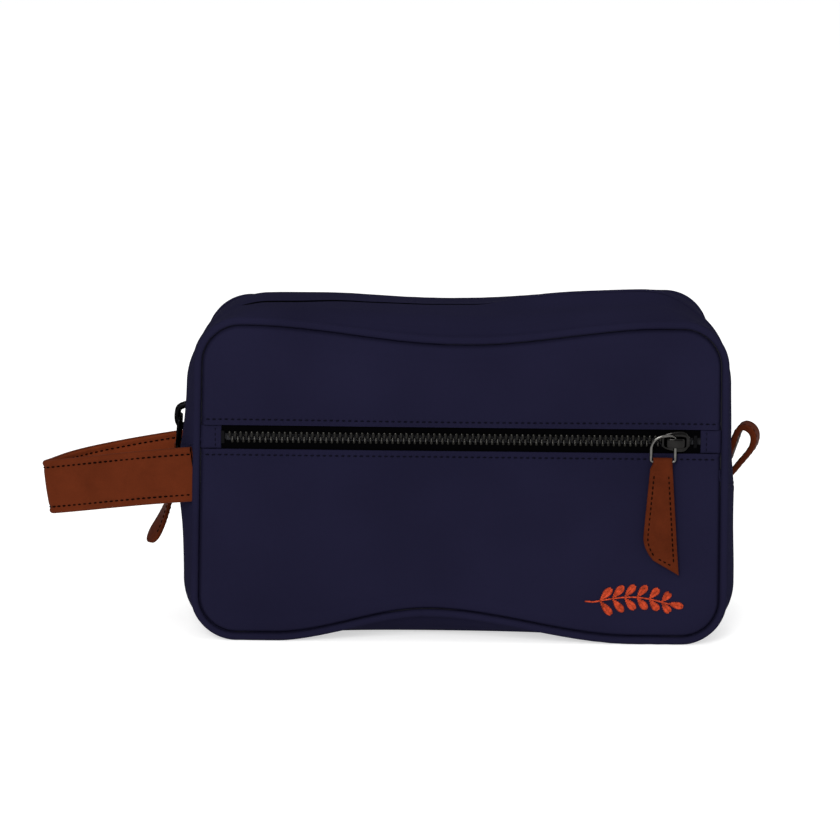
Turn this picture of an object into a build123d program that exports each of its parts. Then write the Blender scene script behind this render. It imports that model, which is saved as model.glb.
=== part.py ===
from build123d import *

import math
import os

# A soft shaving kit bag (wash bag), in millimetres. +X runs along the bag's length, +Y from its front to its
# back, +Z up. The origin is the middle of the flat underside that the bag stands on.
#
# The bag is a front and a back panel joined by a gusset. Piping runs round both seams. The main zip lies in the
# gusset, from the left end over the top to the right end, and a second zip crosses the front panel and opens a
# flat pocket. A leather wrist strap stands out of the left end, and a leather tab loop out of the right end.

# ---- driving dimensions ----------------------------------------------------------------------------------------
FACE_Y = 47.6  # outer face of the front and back panels, either side of the middle
FABRIC_T = 1.2  # faced canvas
LINING_T = 0.4
GAP = 0.1  # between sewn layers that touch in the real bag

PIPE_R = 1.8  # covered piping
PIPE_CORE_R = 1.15
PIPE_Y = 46.2  # plane of the piping's centreline

# The seam's outline runs along the piping's centreline. The belt is the fuller outline of the gusset's middle.
SEAM = dict(half_w=129.0, z_lo=1.9, z_hi=159.7, corner=21.0, corner_top=21.0)
BELT = dict(half_w=136.0, z_lo=0.0, z_hi=164.0, corner=27.0, corner_top=38.0)
FRONT_WAIST = dict(dip=8.7, arch=12.5)  # how far the top seam dips and the bottom seam rises, half way along
BACK_WAIST = dict(dip=5.0, arch=9.0)
BELT_WAIST = dict(dip=4.6, arch=0.0)
WAIST_X = -10.0  # the dip and the arch are deepest here
GUSSET_Y = 44.3  # the gusset starts behind the piping
BELT_Y = 28.0  # half width of the gusset's flat middle

JOIN_LEFT_Z = 92.0  # the bottom gusset meets the zip gussets here, at the left end
JOIN_RIGHT_Z = 76.0

CHAIN_T = 2.4  # zip chain, a number 5 with metal teeth
TOOTH_PITCH = 2.69
TOOTH_L = 1.1  # along the chain
TOOTH_REACH = 0.55  # past the chain's centreline
TOOTH_HALF_W = 3.1
TAPE_T = 0.8
TAPE_IN = 1.7  # inner edge of the tape, held in the teeth
TAPE_OUT = 14.0
TOOTH_CLAMP = 1.6  # bottom of the slot in a tooth that holds the tape

FRONT_ZIP_Z = 102.5
FRONT_ZIP_Y = -45.9  # middle plane of the chain
WINDOW_HALF_L = 117.0
WINDOW_HALF_H = 6.0
FRONT_SLIDER_X = 104.5

MAIN_ZIP_DEPTH = 2.6  # chain's middle below the gusset's outer face
MAIN_SLOT = 6.4  # half width of the open slot in which the main slider runs
MAIN_LIP = 0.6  # half width of the gap between the lips elsewhere
MAIN_SLIDER_Z = 103.0
MAIN_ZIP_END_LEFT = 95.0
MAIN_ZIP_END_RIGHT = 80.0

SLIDER_L = 13.6
SLIDER_HALF_W = 5.1
SLIDER_TAIL_W = 4.3
SLIDER_H = 2.25  # half height of the slider's body
SLIDER_PLATE = 0.9
BRIDGE_TOP = 6.7
BRIDGE_T = 1.0
BRIDGE_HALF_W = 2.3
TUNNEL = 4.2  # the ring passes under the bridge at this height above the chain's middle

RING_WIRE_R = 0.7
RING_W = 11.7
RING_H = 15.0  # the main pull's ring
RING_CORNER = 1.0
FRONT_RING = (3.2, 9.4)  # the front ring's reach above and below the chain's middle
PULL_BORE = 0.8  # the leather's fold round the ring
PULL_T = 2.4  # two layers
PULL_TOP = (-4.85, 4.6)  # left and right edges at the fold
PULL_LEFT = ((-8.6, -37.0), (-3.6, -49.5))  # the left edge's widest point and its rounded corner's foot
PULL_TIP = (9.2, -56.8)
MAIN_BRIDGE = (1.2, 9.3)  # the main slider's cap: its length against the front one's, and its top
MAIN_TUNNEL = 6.8
MAIN_RING_TILT = 4.0  # the ring and the pull lean out over the full side of the bag
MAIN_PULL_TILT = 14.0

STRAP_W = 25.4
STRAP_LAYER = 1.5  # two layers of leather, sewn back to back
STRAP_FRONT = (-129.0, -44.4, 83.7)  # where the strap is sewn into the front seam
STRAP_CREASE = (-205.8, -15.5, 69.9)
STRAP_BACK = (-129.0, 44.1, 75.8)
STRAP_CREASE_R = 3.4
STRAP_HINGE = (-153.9, 76.2)  # x and z of the line about which the loop tilts
STRAP_HINGE_R = 16.7
STRAP_CLEARANCE = 0.3
STRAP_SHOWS = -131.2  # the strap shows outside this x

LOOP_HALF_W = 6.5

PARTS = "parts"
BIG = 500.0

os.makedirs(PARTS, exist_ok=True)


def save(name, shape):
    """Writes one sub-part, whose solids may be several identical pieces."""
    solids = shape.solids() if hasattr(shape, "solids") else ShapeList(s for x in shape for s in x.solids())
    export_step(solids[0] if len(solids) == 1 else Compound(list(solids)), f"{PARTS}/{name}.step")


def block(x, y, z):
    """A box from its low and high values along each axis."""
    size = [hi - lo for lo, hi in (x, y, z)]
    middle = [(lo + hi) / 2 for lo, hi in (x, y, z)]
    return Pos(*middle) * Box(*size)


# ---- outlines of the bag, seen from the front ------------------------------------------------------------------


def s_curve(x0, z0, x1, z1):
    """Two tangent arcs from one level stretch to another, or two lines where both are at one height."""
    xm, zm = (x0 + x1) / 2, (z0 + z1) / 2
    if abs(z1 - z0) < 1e-6:
        return [Line((x0, z0), (xm, zm)), Line((xm, zm), (x1, z1))]
    way = math.copysign(1.0, x1 - x0)
    first = TangentArc((x0, z0), (xm, zm), tangent=(way, 0))
    second = TangentArc((xm, zm), (x1, z1), tangent=first % 1)
    return [first, second]


def outline_edges(shape, waist, inset):
    """The closed outline as edges in the sketch plane (x, z), shrunk by inset."""
    w, r, rt = shape["half_w"] - inset, shape["corner"] - inset, shape["corner_top"] - inset
    lo, hi = shape["z_lo"] + inset, shape["z_hi"] - inset
    cx, cxt, bit, bit_t = w - r, w - rt, math.sqrt(0.5) * r, math.sqrt(0.5) * rt
    left = Line((-w, lo + r), (-w, hi - rt))
    top_left = ThreePointArc((-w, hi - rt), (-cxt - bit_t, hi - rt + bit_t), (-cxt, hi))
    top = s_curve(-cxt, hi, WAIST_X, hi - waist["dip"]) + s_curve(WAIST_X, hi - waist["dip"], cxt, hi)
    top_right = ThreePointArc((cxt, hi), (cxt + bit_t, hi - rt + bit_t), (w, hi - rt))
    right = Line((w, hi - rt), (w, lo + r))
    low_right = ThreePointArc((w, lo + r), (cx + bit, lo + r - bit), (cx, lo))
    bottom = s_curve(cx, lo, WAIST_X, lo + waist["arch"]) + s_curve(WAIST_X, lo + waist["arch"], -cx, lo)
    low_left = ThreePointArc((-cx, lo), (-cx - bit, lo + r - bit), (-w, lo + r))
    return [left, top_left, *top, top_right, right, low_right, *bottom, low_left]


def stand_up(y):
    """The plane of a sketch in (x, z) at depth y. Extruding from it goes towards +Y."""
    return Plane(origin=(0, y, 0), x_dir=(1, 0, 0), z_dir=(0, -1, 0))


def outline_wire(shape, waist, inset, y):
    return stand_up(y) * Wire(outline_edges(shape, waist, inset))


def outline_face(shape, waist, inset, y):
    return Face(outline_wire(shape, waist, inset, y))


def slab(shape, waist, inset, y0, y1):
    """A flat sheet with the outline, between two depths."""
    return extrude(outline_face(shape, waist, inset, y0), amount=y1 - y0, dir=(0, 1, 0))


def shell(outer, inner, y_end=GUSSET_Y):
    """The gusset's ring between two insets: a full middle, and a side that slopes in to each seam."""

    def solid(inset):
        seam, belt = inset, inset
        front = loft(
            [outline_face(SEAM, FRONT_WAIST, seam, -y_end), outline_face(BELT, BELT_WAIST, belt, -BELT_Y)],
            ruled=True,
        )
        back = loft(
            [outline_face(BELT, BELT_WAIST, belt, BELT_Y), outline_face(SEAM, BACK_WAIST, seam, y_end)],
            ruled=True,
        )
        return front, slab(BELT, BELT_WAIST, belt, -BELT_Y, BELT_Y), back

    pieces = [a - b for a, b in zip(solid(outer), solid(inner))]
    return pieces[0] + pieces[1] + pieces[2]


# ---- gusset ----------------------------------------------------------------------------------------------------


def below_joins():
    """Everything under the joins of the bottom gusset."""
    left = block((-BIG, 0), (-BIG, BIG), (-BIG, JOIN_LEFT_Z))
    return left + block((0, BIG), (-BIG, BIG), (-BIG, JOIN_RIGHT_Z))


def above_joins():
    left = block((-BIG, 0), (-BIG, BIG), (JOIN_LEFT_Z + GAP, BIG))
    return left + block((0, BIG), (-BIG, BIG), (JOIN_RIGHT_Z + GAP, BIG))


def zip_slot(half_w, extra=0.0):
    """The gap along the main zip: wide at the left end, where the slider runs, and narrow elsewhere."""
    narrow = block((-BIG, BIG), (-half_w, half_w), (-BIG, BIG))
    top_of_slot = BELT["z_hi"] - BELT["corner_top"]
    wide = block((-BIG, -100), (-MAIN_SLOT - extra, MAIN_SLOT + extra), (-BIG, top_of_slot))
    return narrow + wide


def gusset(outer, inner, names, half_slot, y_end=GUSSET_Y, extra=0.0):
    """The bottom gusset and the two strips beside the zip, as one layer of cloth."""
    ring = shell(outer, inner, y_end)
    save(names[0], ring & below_joins())
    strips = (ring & above_joins()) - zip_slot(half_slot, extra)
    save(names[1], strips & block((-BIG, BIG), (-BIG, 0), (-BIG, BIG)))
    save(names[2], strips & block((-BIG, BIG), (0, BIG), (-BIG, BIG)))


def make_gussets():
    gusset(0.0, FABRIC_T, ["bottom_gusset", "zip_gusset_front", "zip_gusset_back"], MAIN_LIP)
    lining = ["lining_gusset_bottom", "lining_gusset_front", "lining_gusset_back"]
    gusset(1.6, 1.6 + LINING_T, lining, TAPE_OUT + 0.2, y_end=43.2, extra=TAPE_OUT)


# ---- panels, piping, binding and lining ------------------------------------------------------------------------


def window_block(half_l, half_h, y0=-BIG, y1=0.0):
    return block((-half_l, half_l), (y0, y1), (FRONT_ZIP_Z - half_h, FRONT_ZIP_Z + half_h))


def make_front_panel():
    """Two panels with the zip's window between them, and a fabric tab over each end of the zip."""
    inner_y = -FACE_Y + FABRIC_T
    panel = slab(SEAM, FRONT_WAIST, PIPE_R + GAP, -FACE_Y, inner_y)
    save("front_upper_panel", panel & block((-BIG, BIG), (-BIG, 0), (FRONT_ZIP_Z + WINDOW_HALF_H, BIG)))
    save("front_lower_panel", panel & block((-BIG, BIG), (-BIG, 0), (-BIG, FRONT_ZIP_Z - WINDOW_HALF_H)))
    between = panel & window_block(BIG, WINDOW_HALF_H - GAP)
    save("zip_end_tab_left", between & block((-BIG, -WINDOW_HALF_L), (-BIG, 0), (-BIG, BIG)))
    save("zip_end_tab_right", between & block((WINDOW_HALF_L, BIG), (-BIG, 0), (-BIG, BIG)))


def piping_path(waist, y):
    return outline_wire(SEAM, waist, 0.0, y)


def make_piping():
    """A cord in a fabric sleeve, round each seam."""
    for side, sign, waist in (("front", -1, FRONT_WAIST), ("back", 1, BACK_WAIST)):
        path = piping_path(waist, sign * PIPE_Y)
        start = Plane(origin=path @ 0, z_dir=path % 0)
        sleeve = sweep(start * (Circle(PIPE_R) - Circle(PIPE_CORE_R + 0.02)), path=path)
        save(f"piping_{side}", sleeve)
        save(f"piping_cord_{side}", sweep(start * Circle(PIPE_CORE_R), path=path))


def make_back_and_inside():
    """The back panel, the bound seam allowances, the pocket's back sheet and the lining's two faces."""
    save("back_panel", slab(SEAM, BACK_WAIST, PIPE_R + GAP, FACE_Y - FABRIC_T, FACE_Y))
    bind_out, bind_in, bind_y0, bind_y1 = 2.0, 9.0, 43.4, 45.4
    for side, sign, waist in (("front", -1, FRONT_WAIST), ("back", 1, BACK_WAIST)):
        y0, y1 = sorted((sign * bind_y0, sign * bind_y1))
        ring = slab(SEAM, waist, bind_out, y0, y1) - slab(SEAM, waist, bind_in, y0, y1)
        save(f"seam_binding_{side}", ring)
    pocket_y = -43.3
    pocket = slab(SEAM, FRONT_WAIST, bind_out, pocket_y, pocket_y + LINING_T)
    save("front_pocket_back", pocket & block((-BIG, BIG), (-BIG, 0), (-BIG, FRONT_ZIP_Z + 20)))
    save("lining_front", slab(SEAM, FRONT_WAIST, 3.0, -42.7, -42.7 + LINING_T))
    save("lining_back", slab(SEAM, BACK_WAIST, 3.0, 42.7 - LINING_T, 42.7))


# ---- zips ------------------------------------------------------------------------------------------------------


def tooth(side):
    """One tooth in the zip's own frame: x along the chain, y across it, z outwards. Its slot holds the tape."""
    body = block((-TOOTH_L / 2, TOOTH_L / 2), (-TOOTH_HALF_W, TOOTH_REACH), (-CHAIN_T / 2, CHAIN_T / 2))
    clamp = (TAPE_T + GAP) / 2
    slot = block((-TOOTH_L, TOOTH_L), (-TOOTH_HALF_W - 1, -TOOTH_CLAMP), (-clamp, clamp))
    solid = body - slot
    return solid if side < 0 else mirror(solid, about=Plane.XZ)


def chain(frames, side):
    """A row of teeth: every second frame belongs to the other row."""
    piece = tooth(side)
    chosen = frames[0::2] if side < 0 else frames[1::2]
    return [frame * piece for frame in chosen]


def stop(length):
    """A stop clamped across the tapes at the end of a chain."""
    return Box(length, 2 * TOOTH_HALF_W, CHAIN_T + 0.4) - Box(2 * length, 40, TAPE_T + GAP)


def front_frame(x):
    return Plane(origin=(x, FRONT_ZIP_Y, FRONT_ZIP_Z), x_dir=(1, 0, 0), z_dir=(0, -1, 0))


def make_front_zip():
    first, last = -WINDOW_HALF_L + 3.4, FRONT_SLIDER_X + 2.2
    count = int((last - first) / (TOOTH_PITCH / 2)) + 1
    frames = [front_frame(last - k * TOOTH_PITCH / 2) for k in range(count)]
    save("front_zip_teeth_lower", chain(frames, -1))
    save("front_zip_teeth_upper", chain(frames, 1))
    tape_half_l = WINDOW_HALF_L + 3.8
    for name, sign in (("lower", -1), ("upper", 1)):
        across = sorted((sign * TAPE_IN, sign * TAPE_OUT))
        tape = block((-tape_half_l, tape_half_l), across, (-TAPE_T / 2, TAPE_T / 2))
        save(f"front_zip_tape_{name}", front_frame(0) * tape)
    end_stop = front_frame(first - 2.2) * stop(1.6)
    top_stops = front_frame(WINDOW_HALF_L - 3.0) * stop(1.6)
    save("front_zip_stops", [end_stop, top_stops])


def main_path():
    """The main chain's middle line, from its left end over the top to its right end."""
    edges = outline_edges(BELT, BELT_WAIST, MAIN_ZIP_DEPTH)
    x = BELT["half_w"] - MAIN_ZIP_DEPTH
    z_side = BELT["z_hi"] - BELT["corner_top"]
    up = Line((-x, MAIN_ZIP_END_LEFT), (-x, z_side))
    down = Line((x, z_side), (x, MAIN_ZIP_END_RIGHT))
    return stand_up(0) * Wire([up, *edges[1:7], down])


def frame_on(path, distance):
    """The zip's own frame at a distance along its path, facing out of the bag."""
    at = path.position_at(distance, position_mode=PositionMode.LENGTH)
    along = path.tangent_at(distance, position_mode=PositionMode.LENGTH)
    return Plane(origin=at, x_dir=along, z_dir=along.cross(Vector(0, 1, 0)))


def make_main_zip():
    path = main_path()
    slider_at = MAIN_SLIDER_Z - MAIN_ZIP_END_LEFT
    start, end = slider_at - 2.2, path.length - 4.0
    # The closed chain runs from the slider, at the left end, to the right end, so its open end is below the slider.
    count = int((end - start) / (TOOTH_PITCH / 2)) + 1
    frames = [frame_on(path, start + k * TOOTH_PITCH / 2) for k in range(count)]
    save("main_zip_teeth_front", chain(frames, -1))
    save("main_zip_teeth_back", chain(frames, 1))
    half = TAPE_T / 2
    ring = slab(BELT, BELT_WAIST, MAIN_ZIP_DEPTH - half, -TAPE_OUT, TAPE_OUT)
    ring -= slab(BELT, BELT_WAIST, MAIN_ZIP_DEPTH + half, -TAPE_OUT, TAPE_OUT)
    ring &= above_joins()
    save("main_zip_tape_front", ring & block((-BIG, BIG), (-BIG, -TAPE_IN), (-BIG, BIG)))
    save("main_zip_tape_back", ring & block((-BIG, BIG), (TAPE_IN, BIG), (-BIG, BIG)))
    open_end = frame_on(path, 0.0) * stop(1.4)
    closed_end = frame_on(path, path.length - 1.4) * stop(1.6)
    save("main_zip_stops", [open_end, closed_end])


# ---- sliders, rings and leather pulls, in the zip's own frame ---------------------------------------------------


def slider_body():
    """Two plates joined by a post at the wide end, with flanges that hold the chain and gaps for the tapes."""
    half_l = SLIDER_L / 2
    tail, wide = -half_l, half_l
    corners = [(tail, -3.2), (-4.5, -SLIDER_TAIL_W), (0, -SLIDER_HALF_W), (4.6, -SLIDER_HALF_W), (wide, -2.2)]
    plan = make_face(Polyline(*corners, *[(x, -y) for x, y in reversed(corners)], close=True))
    plan = fillet(plan.vertices(), 1.0)
    body = Pos(0, 0, -SLIDER_H) * extrude(plan, amount=2 * SLIDER_H, dir=(0, 0, 1))
    flat_edges = body.edges().group_by(Axis.Z)
    body = chamfer(flat_edges[-1] + flat_edges[0], 0.45)
    post_from, post_to, post_w = 3.2, 5.6, 1.8
    room = SLIDER_H - SLIDER_PLATE
    channel = Box(2 * SLIDER_L, 2 * 3.5, 2 * room) - block((post_from, post_to), (-post_w / 2, post_w / 2), (-9, 9))
    tape_gap = Box(2 * SLIDER_L, 40, 1.1) - block((post_from, post_to), (-post_w / 2, post_w / 2), (-9, 9))
    return body - channel - tape_gap


def slider_bridge(reach, top):
    """The arched cap that the ring passes under, with its two feet on the slider's upper plate."""
    inner_top, below = top - BRIDGE_T, SLIDER_H - 1
    feet, shoulders = (-5.4 * reach, 4.6 * reach), (-4.2 * reach, 3.2 * reach)
    outer = Polyline((feet[0], SLIDER_H), (shoulders[0], top), (shoulders[1], top), (feet[1], SLIDER_H), close=True)
    feet, shoulders = (feet[0] + 1.1, feet[1] - 1.1), (shoulders[0] + 0.9, shoulders[1] - 0.8)
    inner = Polyline((feet[0], below), (shoulders[0], inner_top), (shoulders[1], inner_top), (feet[1], below), close=True)
    side = Plane.XZ * make_face(outer)
    arch = extrude(side, amount=BRIDGE_HALF_W, both=True)
    arch = fillet(arch.edges().filter_by(Axis.Y).group_by(Axis.Z)[-1], 1.6)
    tunnel = extrude(Plane.XZ * make_face(inner), amount=2 * BRIDGE_HALF_W, both=True)
    tunnel = fillet(tunnel.edges().filter_by(Axis.Y).group_by(Axis.Z)[-1], 0.9)
    return arch - tunnel


def front_ring():
    """A wire ring in the XY plane. Its right arm lies on x = 0, and its upper left corner is broad."""
    top, low = FRONT_RING[0], -FRONT_RING[1]
    points = [(0, low), (0, top), (-RING_W, top), (-RING_W, low)]
    path = FilletPolyline(*points, radius=[RING_CORNER, 2.2, 6.5, RING_CORNER], close=True)
    start = Plane(origin=path @ 0, z_dir=path % 0)
    return sweep(start * Circle(RING_WIRE_R), path=path)


def pull_leather():
    """A folded leather pull in the XZ plane, hanging from a bar along X at the origin. Its tip is cut at a slant."""
    top_left, top_right = ((x, 0) for x in PULL_TOP)
    wide, foot = PULL_LEFT
    outline = [
        Line(top_right, PULL_TIP),
        Line(PULL_TIP, foot),
        Spline(foot, wide, tangents=[(-0.87, 0.5), (0.08, 1)]),
        Line(wide, top_left),
        Line(top_left, top_right),
    ]
    flat = extrude(Plane.XZ * make_face(outline), amount=PULL_T / 2, both=True)
    fold_start = Plane(origin=(PULL_TOP[0], 0, 0), z_dir=(1, 0, 0))
    fold = extrude(fold_start * Circle(PULL_BORE + PULL_T / 2), amount=PULL_TOP[1] - PULL_TOP[0])
    bore = extrude(Plane(origin=(0, 0, 0), z_dir=(1, 0, 0)) * Circle(PULL_BORE), amount=30, both=True)
    return flat + fold - bore


def make_front_slider():
    at = front_frame(FRONT_SLIDER_X)
    save("front_slider_body", at * slider_body())
    save("front_slider_bridge", at * slider_bridge(1.0, BRIDGE_TOP))
    arm_x = FRONT_SLIDER_X - 0.4
    ring_plane = Plane(origin=(arm_x, FRONT_ZIP_Y - TUNNEL, FRONT_ZIP_Z), x_dir=(1, 0, 0), z_dir=(0, -1, 0))
    save("front_pull_ring", ring_plane * front_ring())
    bar_z = FRONT_ZIP_Z - FRONT_RING[1]
    save("front_pull_leather", Pos(arm_x - RING_W / 2, FRONT_ZIP_Y - TUNNEL, bar_z) * pull_leather())


def main_slider_frame():
    """The main slider's own frame, on the upright stretch of the zip at the bag's left end."""
    x = BELT["half_w"] - MAIN_ZIP_DEPTH
    return Plane(origin=(-x, 0, MAIN_SLIDER_Z), x_dir=(0, 0, 1), z_dir=(-1, 0, 0))


def make_main_slider():
    # The wide end of this slider points down, towards the open end of its chain.
    at = main_slider_frame() * Plane(origin=(0, 0, 0), x_dir=(-1, 0, 0), z_dir=(0, 0, 1))
    save("main_slider_body", at * slider_body())
    save("main_slider_bridge", at * slider_bridge(*MAIN_BRIDGE))
    down, hang = (Vector(-math.sin(a), 0, -math.cos(a)) for a in map(math.radians, (MAIN_RING_TILT, MAIN_PULL_TILT)))
    pivot = Vector(-(BELT["half_w"] - MAIN_ZIP_DEPTH) - MAIN_TUNNEL, 0, MAIN_SLIDER_Z)
    half = RING_W / 2
    loop = FilletPolyline((-half, 0), (half, 0), (half, -RING_H), (-half, -RING_H), radius=RING_CORNER, close=True)
    start = Plane(origin=loop @ 0, z_dir=loop % 0)
    ring_plane = Plane(origin=pivot, x_dir=(0, 1, 0), z_dir=(-down.Z, 0, down.X))
    save("main_pull_ring", ring_plane * sweep(start * Circle(RING_WIRE_R), path=loop))
    pull_plane = Plane(origin=pivot + down * RING_H, x_dir=(0, -1, 0), z_dir=-hang)
    save("main_pull_leather", pull_plane * pull_leather())


# ---- leather strap and tab loop --------------------------------------------------------------------------------


def strap_plane():
    """The strap's path lies in a plane through both of its roots and its crease, and its width is square to it."""
    root, crease, far = (Vector(*p) for p in (STRAP_FRONT, STRAP_CREASE, STRAP_BACK))
    up = (far - root).cross(crease - root).normalized()
    return Plane(origin=root, x_dir=(1, 0, -up.X / up.Z), z_dir=up)


def strap_path(offset):
    """The strap's line in its own plane, moved outwards by offset: near band, crease and bowed far band."""
    plane = strap_plane()
    start, crease, end = (plane.to_local_coords(Vector(*p)) for p in (STRAP_FRONT, STRAP_CREASE, STRAP_BACK))
    near, far, last = (crease - start).normalized(), Vector(0.43, 0.903), Vector(0.95, 0.31)
    reach = STRAP_CREASE_R * math.tan(near.get_angle(far) / 2 * math.pi / 180)
    bend_in, bend_out = crease - near * reach, crease + far * reach
    centre = bend_in + Vector(near.Y, -near.X) * STRAP_CREASE_R
    belly, along = crease + Vector(20.5, 34.5), Vector(0.72, 0.69).normalized()

    def moved(point, heading):
        shifted = point + Vector(-heading.Y, heading.X) * offset
        return (shifted.X, shifted.Y)

    nose = centre + (crease - centre).normalized() * (STRAP_CREASE_R + offset)
    return [
        Line(moved(start, near), moved(bend_in, near)),
        ThreePointArc(moved(bend_in, near), (nose.X, nose.Y), moved(bend_out, far)),
        Spline(
            moved(bend_out, far),
            moved(belly, along),
            moved(end, last),
            tangents=[(far.X, far.Y), (last.X, last.Y)],
        ),
    ]


def strap_band(offset_in, offset_out):
    """One layer of the strap, between two distances from the path."""
    inner, outer = strap_path(offset_in), strap_path(offset_out)
    caps = [Line(outer[-1] @ 1, inner[-1] @ 1), Line(inner[0] @ 0, outer[0] @ 0)]
    return extrude(strap_plane() * Face(Wire([*outer, *inner, *caps])), amount=STRAP_W / 2, both=True)


def hinge_cylinder(radius):
    x, z = STRAP_HINGE
    return extrude(Plane(origin=(x, 0, z), z_dir=(0, 1, 0)) * Circle(radius), amount=BIG / 2, both=True)


def make_strap():
    """The loop tilts on its roots. It is parted from them on a cylinder about the line that it tilts on."""
    outward = block((-BIG, STRAP_HINGE[0]), (-BIG, BIG), (-BIG, BIG))
    moving = outward + hinge_cylinder(STRAP_HINGE_R)
    fixed = outward + hinge_cylinder(STRAP_HINGE_R + STRAP_CLEARANCE)
    roots = {"front": [], "back": []}
    for name, lo, hi in (("strap_inner_leather", -STRAP_LAYER, -GAP / 2), ("strap_outer_leather", GAP / 2, STRAP_LAYER)):
        layer = strap_band(lo, hi) & block((-BIG, STRAP_SHOWS), (-BIG, BIG), (-BIG, BIG))
        save(name, layer & moving)
        for end in (layer - fixed).solids():
            roots["front" if end.center().Y < 0 else "back"].append(end)
    for side, ends in roots.items():
        save(f"strap_root_{side}", ends)


def make_tab_loop():
    """A narrow leather strip folded into a loop, its ends sewn in at the right end of the main zip."""
    root_x = BELT["half_w"] + 0.1
    outer = [
        Spline(
            (root_x, 73.8),
            (144.6, 80.2),
            (150.0, 88.0),
            (150.2, 95.2),
            (145.0, 100.6),
            (139.4, 97.2),
            (root_x + 0.4, 88.0),
            (root_x, 84.0),
        ),
        Line((root_x, 84.0), (root_x, 73.8)),
    ]
    hole = Spline(
        (138.8, 80.6), (143.4, 83.9), (147.2, 89.2), (147.3, 94.2), (144.6, 97.6), (141.6, 95.2), (139.6, 88.5),
        periodic=True,
    )
    flat = Face(Wire(outer)) - Face(Wire([hole]))
    save("side_tab_loop", extrude(stand_up(0) * flat, amount=LOOP_HALF_W, both=True))


# ---- embroidery ------------------------------------------------------------------------------------------------


def leaf(length, width):
    """A pointed leaf from the origin along x."""
    half = width / 2
    upper = ThreePointArc((0, 0), (length / 2, half), (length, 0))
    lower = ThreePointArc((length, 0), (length / 2, -half), (0, 0))
    return make_face([upper, lower])


def make_embroidery():
    """A plain sprig of leaves, satin-stitched on the lower panel's right corner."""
    x0, z0, length, thread = 66.0, 22.0, 36.0, 0.45
    pieces, count = [], 6
    for k in range(count):
        x = x0 + length * (k + 0.5) / count
        z = z0 + 3.4 * math.sin(math.pi * (k + 0.5) / count)
        for side in (-1, 1):
            pieces.append(Pos(x, z + side * 0.9) * Rot(0, 0, side * 48) * leaf(8.4 - 0.5 * k, 3.0))
    pieces.append(Pos(x0 + length + 0.4, z0 + 0.2) * Rot(0, 0, -12) * leaf(7.0, 2.8))
    raised = [extrude(stand_up(-FACE_Y) * piece, amount=thread, dir=(0, -1, 0)) for piece in pieces]
    save("embroidered_sprig", raised)


make_gussets()
make_front_panel()
make_piping()
make_back_and_inside()
make_front_zip()
make_main_zip()
make_front_slider()
make_main_slider()
make_strap()
make_tab_loop()
make_embroidery()
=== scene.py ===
import math

import bpy
import numpy as np
from mathutils import Matrix, Vector


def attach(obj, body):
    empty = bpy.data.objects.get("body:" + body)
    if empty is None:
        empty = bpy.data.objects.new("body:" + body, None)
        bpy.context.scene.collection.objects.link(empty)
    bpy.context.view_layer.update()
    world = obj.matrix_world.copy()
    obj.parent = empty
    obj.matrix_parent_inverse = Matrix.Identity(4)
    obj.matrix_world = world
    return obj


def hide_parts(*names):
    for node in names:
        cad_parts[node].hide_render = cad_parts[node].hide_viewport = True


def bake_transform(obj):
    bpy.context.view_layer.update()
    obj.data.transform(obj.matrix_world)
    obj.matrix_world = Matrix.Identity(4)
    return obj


# The looks of the shaving kit bag. Lengths in this script are millimetres until a mesh is made.
# +X runs along the bag from the wrist strap to the tab loop, +Y from front to back, +Z up.

MM = 0.001
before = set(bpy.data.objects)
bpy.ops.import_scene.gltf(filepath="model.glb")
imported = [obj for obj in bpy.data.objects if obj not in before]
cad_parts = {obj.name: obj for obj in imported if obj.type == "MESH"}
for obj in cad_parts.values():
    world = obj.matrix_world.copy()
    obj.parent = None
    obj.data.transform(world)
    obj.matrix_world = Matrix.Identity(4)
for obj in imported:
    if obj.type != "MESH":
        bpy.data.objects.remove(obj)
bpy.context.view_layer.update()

FACE_Y = 47.6  # outer face of the front and back panels
PIPE_Y = 46.2
PIPE_R = 1.85
CORD_R = 1.1  # of the piping's core
GUSSET_EDGE = 44.6  # where the gusset's cloth meets the piping
UNDER_PIPING = 1.5  # how far the gusset's sheets run on below it
BELT_FLAT = 22.0  # half the depth over which the gusset follows the belt line
LINING_DROP = 1.9  # from the gusset's outer face to its lining
CHAIN_DEPTH = 2.6  # of the main chain below the belt
CHAIN_Y = -45.9  # middle of the front chain
ZIP_Z = 102.5
WINDOW_L, WINDOW_H = 117.0, 6.0  # half the length and half the height of the front zip's window
STITCH_ROW = 2.8  # from the window's edge to its row of stitches
CANVAS_PITCH = 3.0  # of the stitches in canvas, the strap and the side loop
TAB_PITCH = 2.6  # of the stitches in the zip's end tabs and the leather pulls
FORWARD, BACKWARD = np.array([0, -1.0, 0]), np.array([0, 1.0, 0])
SEAM = dict(half_w=129.0, lo=1.9, hi=159.7, r=21.0, rt=21.0)
BELT = dict(half_w=136.0, lo=0.0, hi=164.0, r=27.0, rt=38.0)
FRONT = dict(dip=8.7, arch=13.0, bulge=0.0, tuck=0.0, lean=(0.0, 0.0, 0.0, 0.0))
BACK = dict(dip=5.0, arch=9.0, bulge=0.0, tuck=2.0, lean=(-3.6, -0.4, 1.2, 0.7))
MIDDLE = dict(dip=4.6, arch=0.0, bulge=3.5, tuck=2.0, lean=(-2.0, 0.4, 1.2, 0.8))
SEGMENTS = (90, 40, 360, 40, 90, 40, 360, 40)  # samples on each stretch of an outline, from the left side round
TOP_FIRST, TOP_LAST = SEGMENTS[0], sum(SEGMENTS[:4])


# ---- small tools ----


def ease(t):
    t = np.clip(t, 0.0, 1.0)
    return t * t * (3 - 2 * t)


def mix(a, b, t):
    """Points on the way from a to b."""
    t = t[:, None]
    return np.asarray(a) * (1 - t) + np.asarray(b) * t


def bell(away, width):
    return np.exp(-((away / width) ** 2))


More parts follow.
